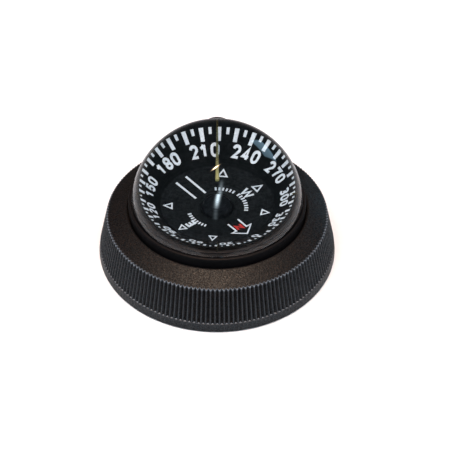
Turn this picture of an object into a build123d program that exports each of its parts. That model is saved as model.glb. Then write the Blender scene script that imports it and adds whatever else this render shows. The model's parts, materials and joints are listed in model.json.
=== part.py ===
"""Surface-mounted boat compass: a liquid-filled dome capsule in a ribbed twist-lock cover.

Row frame: the origin is the centre of the flat underside that rests on the deck, +Z is up and
+Y points to the bow. Every length is in millimetres. The heavy ring of the cover is turned a few
degrees to free the capsule from the deck plate. Inside the capsule two gimbal rings carry the
pivot, and a dished card with magnets and a float turns on the pivot's tip.
"""
import os
from math import cos, hypot, radians, sin, sqrt, tan

from build123d import *

# ---- driving dimensions -------------------------------------------------------------------
BASE_R = 59.3            # foot of the cover, the widest part
DOME_R = 42.0            # outside of the dome
DOME_WALL = 2.7
CENTRE_Z = 25.8          # centre of the dome, of both gimbals and of the pivot's tip
GAP = 0.05               # small assembly gap between parts that touch
RUN = 0.05               # radial running clearance of a turning shaft
PRESS = 0.02             # radial gap of a pin or screw that is fixed in its hole

# ---- cover ring ---------------------------------------------------------------------------
COVER_Z0 = 0.25          # the cover turns just clear of the deck
FOOT_TOP = 4.6           # the grooves between the ribs end here
FOOT_LEDGE_R = 58.6
RIB_LOW_R = 58.5         # ridge radius at the foot
RIB_HIGH_R = 54.0        # ridge radius at the edge of the conical top
RIB_HIGH_Z = 22.6
RIB_DEPTH = 0.9
RIB_COUNT = 170
RIB_CREST = 0.22         # width of a ridge as a share of the pitch
COVER_LIP_R = 43.5
COVER_LIP_Z = 27.0
COVER_WALL = 2.2
CONE_SLOPE = (COVER_LIP_Z - RIB_HIGH_Z) / (RIB_HIGH_R - COVER_LIP_R)
RIB_SLOPE = (RIB_LOW_R - RIB_HIGH_R) / (RIB_HIGH_Z - FOOT_TOP)

# ---- bayonet ------------------------------------------------------------------------------
BAYONET_COUNT = 3
TAB_R = 52.4
TAB_Z = (5.5, 7.5)
TAB_ARC = (-20.0, 20.0)
LUG_R = 50.5
LUG_Z = (3.3, 5.4)
LUG_ARC = (-15.5, 15.5)
LOCK_STOP_ARC = (-20.0, -17.0)
OPEN_STOP_ARC = (58.0, 61.0)     # leaves 40 degrees of twist

# ---- deck plate ---------------------------------------------------------------------------
PLATE_R = 50.2
PLATE_T = 3.0
WALL_IN, WALL_OUT, WALL_TOP = 45.4, 48.0, 16.3
RIM_IN = 48.9
DECK_PCD = 70.0
DECK_HOLES = 4
DECK_HOLE_R = 2.25
DECK_HEAD_R = 4.4
CABLE_HOLE_R = 5.0
CABLE_BORE_R = 3.0
GASKET_R = (44.0, 47.0)
GASKET_T = 1.15
KEY_WIDTH = 4.0

# ---- capsule ------------------------------------------------------------------------------
BOWL_R = 41.0
BOWL_IN = 38.6
BOWL_Z = (8.5, 10.5)             # underside and inside of the bowl's floor
JOINT_Z = 18.8                   # the dome sits on the bowl here
FLANGE_R = 48.2
FLANGE_T = 2.4
DOME_FLANGE_R = 43.4
DOME_FLANGE_T = 2.2
SEAL_R = 41.6
SEAL_SECTION = 0.6
NECK_R = 43.0
NECK_TOP = 31.0
COLLAR_TOP = 22.8
COLLAR_SCREWS = 6
COLLAR_SCREW_R = 46.0            # circle of the clamp screws
CLAMP_SCREW_R = 1.1
DOME_IN = DOME_R - DOME_WALL

# ---- gimbals ------------------------------------------------------------------------------
BRACKET_R = (37.0, 39.6)
BRACKET_Z = (17.2, 18.75)
EAR_Y = (36.2, 37.9)
EAR_HALF = 3.5
PIN_R = 0.9
RING_R = (32.4, 34.6)
RING_HALF = 1.5
CRADLE_R = (29.4, 31.0)
CRADLE_Z = (24.0, 27.2)
ARM_HALF = 1.6
BOSS_R = 4.0
BOSS_Z = (17.8, 19.6)

# ---- card ---------------------------------------------------------------------------------
CARD_Z = 24.0                    # top of the flat disc
CARD_T = 0.8
DISC_R = 18.8
BAND_LOW_Z = 24.3
CARD_R = 28.4
BAND_HIGH_Z = 28.5
CARD_HEADING = 219.0             # degrees of the card that lie under the main lubber line at rest
HUB_R = 5.2
HUB_TOP = 27.4
HUB_SPIGOT_R = 2.8               # the hub is pressed through the card and the float
CUP_R = 2.0                      # outside of the jewel cup
FLOAT_R = (4.4, 17.0)
FLOAT_Z = (20.4, 23.1)
MAGNET = (3.0, 22.0, 2.2)
MAGNET_X = 8.5
TIP_Z = 25.35                    # tip of the pivot needle
NEEDLE_R = 1.0
NEEDLE_LOW_Z = 13.6
NEEDLE_TAPER_Z = 21.6            # the point begins here
WEIGHT_R = 7.5
WEIGHT_LOW_Z = 14.6
LUBBER_R = 0.5
LUBBER_LOW_Z = 30.2
LUBBER_END_R = 7.7
LUBBER_FOOT_R = (CRADLE_R[0] + CRADLE_R[1]) / 2
LUBBER_IN_CRADLE = 1.4           # depth of each wire in its hole
LUBBER_DROP = 0.5                # the main line slopes down by this towards the hub
MARK_OVER_CARD = 1.2             # the short marks reach this far over the card
MARK_DROP = 0.3
SIDE_MARK = 3.0                  # the beam marks stand just forward of the pitch pins

# ---- compensator --------------------------------------------------------------------------
ROD_R = 1.5
ROD_Z = 5.75
ROD_OFFSET = 11.0                # each rod passes this far from the centre of the plate
ROD_END = 47.2
FRAME_Z = (3.05, 7.6)
FRAME_LONG = (-12.0, 18.0)       # reach of the frame's two limbs
FRAME_ACROSS = (6.4, 15.6)
POCKET_HALF = 3.0
EW_POCKET = (-8.0, 12.0)
NS_POCKET = (-12.0, 3.0)
FRAME_SCREWS = [(-10.4, 13.7), (16.2, 14.0), (14.0, -14.0)]
FRAME_SCREW_R = 1.0
ROD_IN_WALL = 2.2                # each rod ends this deep in the frame's inner wall
ROD_COLLAR_R = 2.1
ROD_COLLAR_AT = 15.5             # from the rod's inner end
ROD_MAGNETS_AT = (5.5, 11.5)
ROD_MAGNET_R = 1.0
ROD_MAGNET_HALF = 2.1

# ---- service parts under the bowl ---------------------------------------------------------
DIAPHRAGM_AT = (-20.0, -17.0)
DIAPHRAGM_R = 11.3
DIAPHRAGM_OPEN_R = 8.5
DIAPHRAGM_T = 0.8
RETAINER_R = 13.4
RETAINER_T = 2.1
RETAINER_SCREW_R = 0.7
PLUG_AT = (24.0, 22.0)
PLUG_R = 2.5
PLUG_HEAD_R = 4.2
PLUG_HEAD_T = 2.0
TERMINAL_AT = (-28.0, 8.0)
TERMINAL_SIZE = (10.0, 12.0, 4.4)
TERMINAL_HALF_PITCH = 2.4
TERMINAL_SCREW_R = 1.05

# ---- lamp ---------------------------------------------------------------------------------
HOOD_HALF = 6.4
HOOD_LOW_Z = 27.9
HOOD_ARCH_Z = 40.9
HOOD_OUT_R = 47.9
HOOD_IN_R = 42.4
HOOD_WALL = 1.3
HOOD_HOLLOW_Z = 33.0
LENS_LOW_Z = 34.8
LENS_T = 1.0
BULB_Z = 39.5
BULB_Y = 42.6
BULB_R = 1.5
BULB_RIM_R = 1.8
LAMP_SCREW_R = 0.8
LAMP_SCREW_Z = 29.4
LAMP_SCREW_TURNS = (-5.9, 5.9)
WIRE_R = 0.45
WIRE_X = 0.9
WIRE_TOP_Y = 43.7
WIRE_TOP_Z = 37.2
WIRE_NECK_Y = 42.6
WIRE_DOWN_R = 44.3
WIRE_LOW_Z = 4.6
WIRE_FLOOR_R = 40.0              # the wires come down beside the bowl to this radius
WIRE_TURN_Y = 22.0               # and turn aft along the deck plate here


# ---- helpers ------------------------------------------------------------------------------
def outline(corners):
    """Closed wire in the XZ plane through (x, z) corners; a third value rounds that corner."""
    count = len(corners)
    starts, ends, middles = [], [], []
    for i, corner in enumerate(corners):
        here = Vector(corner[0], 0, corner[1])
        if len(corner) == 2:
            starts.append(here)
            ends.append(here)
            middles.append(None)
            continue
        before, after = corners[i - 1], corners[(i + 1) % count]
        to_before = (Vector(before[0], 0, before[1]) - here).normalized()
        to_after = (Vector(after[0], 0, after[1]) - here).normalized()
        half = radians(to_before.get_angle(to_after)) / 2
        reach = corner[2] / tan(half)
        bisector = (to_before + to_after).normalized()
        centre = here + bisector * (corner[2] / sin(half))
        starts.append(here + to_before * reach)
        ends.append(here + to_after * reach)
        middles.append(centre - bisector * corner[2])
    edges = []
    for i in range(count):
        if middles[i] is not None:
            edges.append(Edge.make_three_point_arc(starts[i], middles[i], ends[i]))
        after = starts[(i + 1) % count]
        if (after - ends[i]).length > 1e-6:
            edges.append(Edge.make_line(ends[i], after))
    return Wire(edges)


def turned(corners, arc=(0.0, 360.0)):
    """Solid of revolution about Z of (r, z) corners, over a range of degrees from +X."""
    face = Face(outline(corners))
    body = revolve(face, axis=Axis.Z, revolution_arc=arc[1] - arc[0])
    return body.rotate(Axis.Z, arc[0])


def tube(inner, outer, low, high):
    """Plain ring between two radii and two heights."""
    return turned([(inner, low), (outer, low), (outer, high), (inner, high)])


def rod(radius, start, end):
    """Cylinder from one point to another."""
    start, end = Vector(start), Vector(end)
    return Solid.make_cylinder(radius, (end - start).length, Plane(origin=start, z_dir=end - start))


def block(x, y, z):
    """Box between pairs of coordinates."""
    return Solid.make_box(x[1] - x[0], y[1] - y[0], z[1] - z[0], Plane((x[0], y[0], z[0])))


def around(shape, count, start=0.0):
    """Copies of a shape spaced evenly about Z."""
    return [shape.rotate(Axis.Z, start + i * 360.0 / count) for i in range(count)]


def polar(radius, degrees, z=0.0):
    """Point at a radius and an angle from +X."""
    return (radius * cos(radians(degrees)), radius * sin(radians(degrees)), z)


def as_card(shape):
    """Turns a shape drawn with north along +Y to the card's heading at rest."""
    return shape.rotate(Axis.Z, CARD_HEADING)


def pan_screw(at, head_r, head_t, shank_r, length):
    """Small screw whose head bears downwards on the point given; the shank goes down."""
    x, y, z = at
    head = turned([(0, z), (head_r, z), (head_r, z + head_t, head_t * 0.6), (0, z + head_t)])
    shank = rod(shank_r, (0, 0, z - length), (0, 0, z + 0.01))
    slot = block((-head_r, head_r), (-0.2, 0.2), (z + head_t * 0.45, z + head_t + 1))
    return (head + shank - slot).translate((x, y, 0))


def flipped(shape, z):
    """Turns a shape upside down about a horizontal line at height z."""
    return shape.rotate(Axis((0, 0, z), (1, 0, 0)), 180)


# ---- cover ring ---------------------------------------------------------------------------
def rib_outline(z):
    """Wire of the ribbed skirt's cross-section at height z."""
    ridge = RIB_LOW_R - RIB_SLOPE * (z - FOOT_TOP)
    pitch = 360.0 / RIB_COUNT
    points = []
    for i in range(RIB_COUNT):
        middle = i * pitch
        points.append(polar(ridge, middle - RIB_CREST * pitch / 2, z))
        points.append(polar(ridge, middle + RIB_CREST * pitch / 2, z))
        points.append(polar(ridge - RIB_DEPTH, middle + pitch / 2, z))
    return Wire.make_polygon([Vector(*p) for p in points], close=True)


def cover_ring():
    """Ribbed skirt and conical top that clamp the capsule to the deck plate."""
    top_z = COVER_LIP_Z + 0.5
    ribs = Solid.make_loft([rib_outline(FOOT_TOP), rib_outline(top_z)], ruled=True)
    edge = BASE_R + 1
    edge_z = COVER_LIP_Z - CONE_SLOPE * (edge - COVER_LIP_R)
    under_cone = turned([(0, FOOT_TOP), (edge, FOOT_TOP), (edge, edge_z), (COVER_LIP_R, COVER_LIP_Z, 1.2),
                         (COVER_LIP_R - 1.5, COVER_LIP_Z - 0.6), (0, COVER_LIP_Z - 0.6)])
    foot = turned([(0, COVER_Z0), (BASE_R, COVER_Z0, 0.6), (FOOT_LEDGE_R, FOOT_TOP), (0, FOOT_TOP)])
    wall_high = RIB_HIGH_R - RIB_DEPTH - COVER_WALL
    wall_low = RIB_LOW_R - RIB_DEPTH - COVER_WALL - 0.4
    high_z = COVER_LIP_Z - COVER_WALL - CONE_SLOPE * (wall_high - COVER_LIP_R)
    hollow = turned([(0, COVER_Z0 - 1), (wall_low + 1.2, COVER_Z0 - 1), (wall_low, FOOT_TOP),
                     (wall_high, high_z, 1.0), (COVER_LIP_R, COVER_LIP_Z - COVER_WALL),
                     (COVER_LIP_R, COVER_LIP_Z + 1), (0, COVER_LIP_Z + 1)])
    root = wall_low + 0.6
    lug = turned([(LUG_R, LUG_Z[0]), (root, LUG_Z[0]), (root, LUG_Z[1]), (LUG_R, LUG_Z[1])], LUG_ARC)
    return (ribs & under_cone) + foot - hollow + around(lug, BAYONET_COUNT)


# ---- deck plate and what it carries -------------------------------------------------------
def mounting_plate():
    """Deck plate: screw holes, cable hole, support wall, locating key and bayonet tabs."""
    plate = tube(0, PLATE_R, 0, PLATE_T)
    wall = tube(WALL_IN, WALL_OUT, PLATE_T, WALL_TOP)
    rim = tube(RIM_IN, PLATE_R, PLATE_T, TAB_Z[1])
    root = PLATE_R - 0.5
    tab = turned([(root, TAB_Z[0]), (TAB_R, TAB_Z[0]), (TAB_R, TAB_Z[1], 0.4), (root, TAB_Z[1])], TAB_ARC)
    stop = [(root, PLATE_T), (TAB_R, PLATE_T), (TAB_R, TAB_Z[0]), (root, TAB_Z[0])]
    key = block((-KEY_WIDTH / 2, KEY_WIDTH / 2), (-WALL_OUT + 0.3, -WALL_IN - 0.3),
                (WALL_TOP, JOINT_Z - 0.5))
    body = plate + wall + rim + key
    for piece in (tab, turned(stop, LOCK_STOP_ARC), turned(stop, OPEN_STOP_ARC)):
        body += around(piece, BAYONET_COUNT)
    body -= tube(0, CABLE_HOLE_R, -1, PLATE_T + 1)
    body -= tube(GASKET_R[0], GASKET_R[1], -1, GASKET_T + GAP)
    sink = turned([(0, -1), (DECK_HOLE_R, -1), (DECK_HOLE_R, 1.0), (DECK_HEAD_R, PLATE_T),
                   (DECK_HEAD_R, PLATE_T + 1), (0, PLATE_T + 1)])
    body -= around(sink.translate((DECK_PCD / 2, 0, 0)), DECK_HOLES, 45.0)
    body -= rod(ROD_R + RUN, (40, ROD_OFFSET, ROD_Z), (55, ROD_OFFSET, ROD_Z))
    body -= rod(ROD_R + RUN, (ROD_OFFSET, -40, ROD_Z), (ROD_OFFSET, -55, ROD_Z))
    for x, y in FRAME_SCREWS:
        body -= rod(FRAME_SCREW_R + PRESS, (x, y, 1.4), (x, y, PLATE_T + 1))
    return body


def deck_gasket():
    """Rubber ring in the underside of the deck plate."""
    return tube(GASKET_R[0] + GAP, GASKET_R[1] - GAP, 0, GASKET_T)


def cable_grommet():
    """Rubber grommet that lines the cable hole."""
    neck = CABLE_HOLE_R - GAP
    return turned([(CABLE_BORE_R, 0.2), (neck, 0.2), (neck, PLATE_T + GAP), (neck + 1, PLATE_T + GAP),
                   (neck + 1, PLATE_T + 1.2, 0.5), (CABLE_BORE_R, PLATE_T + 1.2)])


def compensator_frame():
    """L-shaped block with bearings and pockets for the two compensator rods."""
    near, far = ROD_OFFSET - POCKET_HALF, ROD_OFFSET + POCKET_HALF
    pocket_z = (FRAME_Z[0] - 1, FRAME_Z[1] + 1)
    body = block(FRAME_LONG, FRAME_ACROSS, FRAME_Z)
    body += block(FRAME_ACROSS, (-FRAME_LONG[1] + 2, FRAME_ACROSS[1]), FRAME_Z)
    body -= block(EW_POCKET, (near, far), pocket_z)
    body -= block((near, far), NS_POCKET, pocket_z)
    for name in ("ew", "ns"):
        start, end = (Vector(p) for p in rod_ends(name))
        back = (start - end).normalized() * 0.3
        body -= rod(ROD_R + RUN, start + back, end)
    for x, y in FRAME_SCREWS:
        body -= rod(FRAME_SCREW_R + PRESS, (x, y, 0), (x, y, 20))
    return body


def frame_screws():
    """Three screws that hold the compensator frame on the deck plate."""
    top = FRAME_Z[1] + 0.01
    return [pan_screw((x, y, top), 1.8, 0.7, FRAME_SCREW_R, top - 1.5) for x, y in FRAME_SCREWS]


def adjuster_rod(start, end):
    """Compensator rod with a retaining collar, two cross holes and a screwdriver slot."""
    body = rod(ROD_R, start, end)
    start, end = Vector(start), Vector(end)
    along = (end - start).normalized()
    collar_at = start + along * ROD_COLLAR_AT
    body += rod(ROD_COLLAR_R, collar_at, collar_at + along * 1.1)
    through = Vector(0, 0, ROD_R + 1)
    for centre in magnet_centres(start, along):
        body -= rod(ROD_MAGNET_R + PRESS, centre - through, centre + through)
    side = along.cross(Vector(0, 0, 1))
    slot_plane = Plane(origin=end, x_dir=side, z_dir=along)
    body -= slot_plane * Box(4, 0.7, 2.4)
    return body


def magnet_centres(start, along):
    """Centres of the two magnets of a rod that starts at a point."""
    return [start + along * distance for distance in ROD_MAGNETS_AT]


def rod_ends(name):
    """Start and end points of the east-west or north-south rod."""
    if name == "ew":
        return (EW_POCKET[0] - ROD_IN_WALL, ROD_OFFSET, ROD_Z), (ROD_END, ROD_OFFSET, ROD_Z)
    return (ROD_OFFSET, NS_POCKET[1] + ROD_IN_WALL, ROD_Z), (ROD_OFFSET, -ROD_END, ROD_Z)


def adjuster_magnets(name):
    """Two small round magnets across a compensator rod."""
    start, end = (Vector(p) for p in rod_ends(name))
    along = (end - start).normalized()
    reach = Vector(0, 0, ROD_MAGNET_HALF)
    return [rod(ROD_MAGNET_R, centre - reach, centre + reach) for centre in magnet_centres(start, along)]


def terminal_block():
    """Two-way terminal that joins the lamp wires to the boat's cable."""
    x, y = TERMINAL_AT
    half_x, half_y = TERMINAL_SIZE[0] / 2, TERMINAL_SIZE[1] / 2
    top = PLATE_T + TERMINAL_SIZE[2]
    body = block((x - half_x, x + half_x), (y - half_y, y + half_y), (PLATE_T + GAP, top))
    for side in (-1, 1):
        way = x + side * TERMINAL_HALF_PITCH
        body -= rod(TERMINAL_SCREW_R + GAP, (way, y, PLATE_T + 1.6), (way, y, top + 1))
        body -= rod(0.7, (way, y - half_y - 1, WIRE_LOW_Z), (way, y + half_y + 1, WIRE_LOW_Z))
    return body


def terminal_screws():
    """Clamp screws of the terminal block."""
    x, y = TERMINAL_AT
    top = PLATE_T + TERMINAL_SIZE[2] - 0.2
    slot = block((-1.2, 1.2), (-0.2, 0.2), (top - 0.4, top + 1))
    screw = rod(TERMINAL_SCREW_R, (0, 0, top - 1.7), (0, 0, top)) - slot
    return [screw.translate((x + side * TERMINAL_HALF_PITCH, y, 0)) for side in (-1, 1)]


# ---- capsule ------------------------------------------------------------------------------
def capsule_bowl():
    """Lower half of the capsule, with its flange, seal groove and service openings."""
    low, floor = BOWL_Z
    rebate = BRACKET_R[1] + 0.1
    under = JOINT_Z - FLANGE_T
    body = turned([(0, low), (BOWL_R, low, 1.5), (BOWL_R, under), (FLANGE_R, under),
                   (FLANGE_R, JOINT_Z), (rebate, JOINT_Z), (rebate, BRACKET_Z[0] - GAP),
                   (BOWL_IN, BRACKET_Z[0] - GAP), (BOWL_IN, floor, 1.5), (0, floor)])
    groove_half = SEAL_SECTION + GAP
    body -= tube(SEAL_R - groove_half, SEAL_R + groove_half, JOINT_Z - 2 * SEAL_SECTION - GAP, JOINT_Z + 1)
    body -= around(screw_hole(JOINT_Z), COLLAR_SCREWS)
    body -= wire_slot(0, JOINT_Z + 1)
    key_half = KEY_WIDTH / 2 + 0.15
    body -= block((-key_half, key_half), (-FLANGE_R - 1, 0.1 - WALL_IN), (under - 1, JOINT_Z + 1))
    x, y = DIAPHRAGM_AT
    body -= tube(0, DIAPHRAGM_OPEN_R, low - 1, floor + 1).translate((x, y, 0))
    for px, py in retainer_screw_places():
        body -= rod(RETAINER_SCREW_R + PRESS, (px, py, low - 1), (px, py, low + 1.5))
    body -= rod(PLUG_R + PRESS, (*PLUG_AT, low - 1), (*PLUG_AT, floor + 1))
    return body


def screw_hole(top):
    """Clearance hole and head pocket of one clamp screw, at +X."""
    under = JOINT_Z - FLANGE_T
    hole = rod(CLAMP_SCREW_R + GAP, (COLLAR_SCREW_R, 0, under - 1), (COLLAR_SCREW_R, 0, top + 1))
    return hole + rod(1.9, (COLLAR_SCREW_R, 0, under - 1), (COLLAR_SCREW_R, 0, under + 1.2))


def wire_slot(low, high):
    """Passage of the lamp wires through the flanges, at the bow."""
    return block((-WIRE_X - 1, WIRE_X + 1), (DOME_FLANGE_R + 0.2, WIRE_DOWN_R + 0.8), (low, high))


def clamp_collar():
    """Black ring that clamps the dome on the bowl, with a neck around the dome."""
    inner = DOME_R + 0.1
    recess = DOME_FLANGE_R + 0.1
    under = JOINT_Z + DOME_FLANGE_T + GAP
    body = turned([(inner, under), (recess, under), (recess, JOINT_Z + GAP), (FLANGE_R, JOINT_Z + GAP),
                   (FLANGE_R, COLLAR_TOP, 0.5), (NECK_R, COLLAR_TOP), (NECK_R, NECK_TOP, 0.6),
                   (dome_radius_at(NECK_TOP) + 0.12, NECK_TOP), (inner, CENTRE_Z + 1)])
    tapped = rod(CLAMP_SCREW_R + PRESS, (COLLAR_SCREW_R, 0, 0), (COLLAR_SCREW_R, 0, COLLAR_TOP - 0.7))
    body -= around(tapped, COLLAR_SCREWS)
    body -= wire_slot(0, COLLAR_TOP + 1)
    body -= block((-WIRE_X - 1, WIRE_X + 1), (DOME_R - 2, NECK_R + 1.2), (COLLAR_TOP - 1.6, NECK_TOP + 1))
    body -= lamp_screw_bores(LAMP_SCREW_R + PRESS)
    return body


def dome_radius_at(z):
    """Outside radius of the dome at a height above its centre."""
    return sqrt(DOME_R**2 - (z - CENTRE_Z) ** 2)


def collar_screws():
    """Six screws driven up through the bowl's flange into the collar."""
    head_z = JOINT_Z - FLANGE_T + 1.2
    screw = flipped(pan_screw((0, 0, head_z), 1.8, 0.9, CLAMP_SCREW_R, COLLAR_TOP - 0.9 - head_z), head_z)
    return around(screw.translate((COLLAR_SCREW_R, 0, 0)), COLLAR_SCREWS)


def dome():
    """Clear dome with a straight skirt and a flange."""
    low = JOINT_Z + GAP
    skirt = turned([(DOME_IN, low), (DOME_FLANGE_R, low), (DOME_FLANGE_R, low + DOME_FLANGE_T - GAP),
                    (DOME_R, low + DOME_FLANGE_T - GAP), (DOME_R, CENTRE_Z), (DOME_IN, CENTRE_Z)])
    cap = Solid.make_sphere(DOME_R, angle1=0) - Solid.make_sphere(DOME_IN, angle1=-5)
    return skirt + cap.translate((0, 0, CENTRE_Z))


def dome_seal():
    """O-ring between the bowl and the dome's flange."""
    return Solid.make_torus(SEAL_R, SEAL_SECTION).translate((0, 0, JOINT_Z - SEAL_SECTION))


def diaphragm():
    """Rubber diaphragm that takes up the liquid's expansion."""
    top = BOWL_Z[0] - 0.01
    body = turned([(0, top + 0.4), (4.4, top + 0.4), (5.6, top - 0.9, 0.4), (7.4, top),
                   (DIAPHRAGM_R, top), (DIAPHRAGM_R, top - DIAPHRAGM_T), (7.2, top - DIAPHRAGM_T),
                   (5.2, top - 2 * DIAPHRAGM_T, 0.4),
                   (4.0, top - 0.4), (0, top - 0.4)])
    return body.translate((*DIAPHRAGM_AT, 0))


def retainer_screw_places():
    """Centres of the four screws of the diaphragm's ring."""
    radius = (DIAPHRAGM_R + RETAINER_R) / 2
    places = [polar(radius, 45 + 90 * i) for i in range(4)]
    return [(DIAPHRAGM_AT[0] + p[0], DIAPHRAGM_AT[1] + p[1]) for p in places]


def diaphragm_retainer():
    """Ring that clamps the diaphragm under the bowl's floor."""
    top = BOWL_Z[0] - GAP
    seat = DIAPHRAGM_R + GAP
    body = turned([(DIAPHRAGM_OPEN_R, top - RETAINER_T), (RETAINER_R, top - RETAINER_T), (RETAINER_R, top),
                   (seat, top), (seat, top - DIAPHRAGM_T), (DIAPHRAGM_OPEN_R, top - DIAPHRAGM_T)])
    body = body.translate((*DIAPHRAGM_AT, 0))
    for x, y in retainer_screw_places():
        body -= rod(RETAINER_SCREW_R + PRESS, (x, y, 0), (x, y, 20))
    return body


def retainer_screws():
    """Four small screws of the diaphragm's ring."""
    head_z = BOWL_Z[0] - GAP - RETAINER_T
    screw = flipped(pan_screw((0, 0, head_z), 0.95, 0.5, RETAINER_SCREW_R, 3.4), head_z)
    return [screw.translate((x, y, 0)) for x, y in retainer_screw_places()]


def filler_plug():
    """Plug that closes the filling hole."""
    low = BOWL_Z[0] - 0.5
    x, y = PLUG_AT
    body = rod(PLUG_R, (x, y, low - 0.01), (x, y, BOWL_Z[1] - 0.1))
    body += rod(PLUG_HEAD_R, (x, y, low - PLUG_HEAD_T), (x, y, low))
    return body - block((x - 3, x + 3), (y - 0.5, y + 0.5), (low - 3, low - 1.1))


def filler_washer():
    """Sealing washer under the plug's head."""
    return tube(PLUG_R + GAP, 4.0, BOWL_Z[0] - 0.49, BOWL_Z[0] - 0.01).translate((*PLUG_AT, 0))


# ---- gimbals ------------------------------------------------------------------------------
def gimbal_bracket():
    """Ring trapped between bowl and dome, with two ears that carry the roll pins."""
    body = tube(*BRACKET_R, *BRACKET_Z)
    ear = block((-EAR_HALF, EAR_HALF), EAR_Y, (BRACKET_Z[0], CENTRE_Z))
    ear += rod(EAR_HALF, (0, EAR_Y[0], CENTRE_Z), (0, EAR_Y[1], CENTRE_Z))
    ear -= rod(PIN_R + PRESS, (0, 30, CENTRE_Z), (0, 45, CENTRE_Z))
    return body + around(ear, 2)


def roll_pins():
    """Two pins on the fore-and-aft axis."""
    return around(rod(PIN_R, (0, RING_R[0] + 0.4, CENTRE_Z), (0, EAR_Y[1], CENTRE_Z)), 2)


def gimbal_ring():
    """Outer gimbal ring: it rolls on the bracket's pins and carries the pitch pins."""
    body = turned([(RING_R[0], CENTRE_Z - RING_HALF), (RING_R[1], CENTRE_Z - RING_HALF, 0.5),
                   (RING_R[1], CENTRE_Z + RING_HALF, 0.5), (RING_R[0], CENTRE_Z + RING_HALF)])
    body -= around(rod(PIN_R + RUN, (0, 30, CENTRE_Z), (0, 36, CENTRE_Z)), 2)
    body -= around(rod(PIN_R + PRESS, (30, 0, CENTRE_Z), (36, 0, CENTRE_Z)), 2)
    return body


def pitch_pins():
    """Two pins on the athwartships axis."""
    return around(rod(PIN_R, (CRADLE_R[0] + 0.2, 0, CENTRE_Z), (RING_R[1] - 0.2, 0, CENTRE_Z)), 2)


def gimbal_cradle():
    """Inner gimbal: a ring around the card joined by four arms to the pivot's boss."""
    ring = turned([(CRADLE_R[0], CRADLE_Z[0]), (CRADLE_R[1], CRADLE_Z[0], 0.4),
                   (CRADLE_R[1], CRADLE_Z[1], 0.4), (CRADLE_R[0], CRADLE_Z[1])])
    knee = FLOAT_R[1] + 0.5
    dish = turned([(BOSS_R - 1, BOSS_Z[0]), (knee, BOSS_Z[0]), (CRADLE_R[0] + 0.5, CRADLE_Z[0]),
                   (CRADLE_R[0] + 0.5, CRADLE_Z[0] + 1.6), (knee, BOSS_Z[1]), (BOSS_R - 1, BOSS_Z[1])])
    arm = block((0, CRADLE_R[1]), (-ARM_HALF, ARM_HALF), (0, 40))
    arms = [dish & a for a in around(arm, 4, 45)]
    body = ring + tube(0, BOSS_R, *BOSS_Z)
    for a in arms:
        body += a
    body -= rod(NEEDLE_R + PRESS, (0, 0, 0), (0, 0, 40))
    body -= around(rod(PIN_R + RUN, (28, 0, CENTRE_Z), (33, 0, CENTRE_Z)), 2)
    for angle in lubber_angles():
        x, y, z = polar(LUBBER_FOOT_R, angle)
        body -= rod(LUBBER_R + PRESS, (x, y, CRADLE_Z[1] - LUBBER_IN_CRADLE - 0.1), (x, y, 40))
    return body


def lubber_angles():
    """Angles from +X of the main line at the bow and of the side and stern marks."""
    return [90, 45, 135, SIDE_MARK, 180 - SIDE_MARK, 270]


def bent_wire(radius, points):
    """Round wire through points with mitred bends."""
    points = [Vector(p) for p in points]
    body = rod(radius, points[0], points[1])
    for a, b in zip(points[1:], points[2:]):
        body += Solid.make_sphere(radius, angle1=-90).translate(a)
        body += rod(radius, a, b)
    return body


def lubber_lines():
    """Yellow wires that stand on the cradle and reach over the card's edge."""
    wires = []
    for angle in lubber_angles():
        inner = LUBBER_END_R if angle == 90 else CARD_R - MARK_OVER_CARD
        drop = LUBBER_DROP if angle == 90 else MARK_DROP
        wires.append(bent_wire(LUBBER_R, [polar(LUBBER_FOOT_R, angle, CRADLE_Z[1] - LUBBER_IN_CRADLE),
                                          polar(LUBBER_FOOT_R, angle, LUBBER_LOW_Z),
                                          polar(inner, angle, LUBBER_LOW_Z - drop)]))
    return wires


def pivot_needle():
    """Steel pivot with a sharp tip that carries the card."""
    return turned([(0, NEEDLE_LOW_Z), (NEEDLE_R, NEEDLE_LOW_Z), (NEEDLE_R, NEEDLE_TAPER_Z),
                   (0.12, TIP_Z), (0, TIP_Z)])


def counterweight():
    """Brass weight that keeps the cradle level."""
    top = BOSS_Z[0] - GAP
    bore = NEEDLE_R + PRESS
    return turned([(bore, WEIGHT_LOW_Z), (WEIGHT_R, WEIGHT_LOW_Z, 0.6), (WEIGHT_R, top, 0.6), (bore, top)])


def counterweight_nut():
    """Round nut on the needle's foot under the weight."""
    return tube(NEEDLE_R + PRESS, 2.6, NEEDLE_LOW_Z + 0.1, WEIGHT_LOW_Z - GAP)


# ---- card ---------------------------------------------------------------------------------
def compass_card():
    """Flat disc with a raised conical band that carries the degrees."""
    rise = (BAND_HIGH_Z - BAND_LOW_Z) / (CARD_R - DISC_R)
    drop = CARD_T * hypot(1, rise)
    under_disc = CARD_Z - CARD_T
    bore = HUB_SPIGOT_R + 0.1
    return turned([(bore, under_disc), (DISC_R + 0.3, under_disc), (CARD_R, BAND_HIGH_Z - drop),
                   (CARD_R + 0.1, BAND_HIGH_Z), (CARD_R - 0.3, BAND_HIGH_Z - 0.05),
                   (DISC_R + 0.35, BAND_LOW_Z + 0.15), (DISC_R, CARD_Z), (bore, CARD_Z)])


def card_hub():
    """Domed hub in the middle of the card that holds the jewel cup."""
    top = CARD_Z + GAP
    low = FLOAT_Z[0] + 1.5
    bore = CUP_R + GAP
    return turned([(bore, low), (HUB_SPIGOT_R, low), (HUB_SPIGOT_R, top), (HUB_R, top),
                   (HUB_R, top + 1.1, 0.3), (HUB_R - 0.9, HUB_TOP - 0.5, 1.2), (0, HUB_TOP),
                   (0, TIP_Z + 1.15), (bore, TIP_Z + 1.15)])


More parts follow.
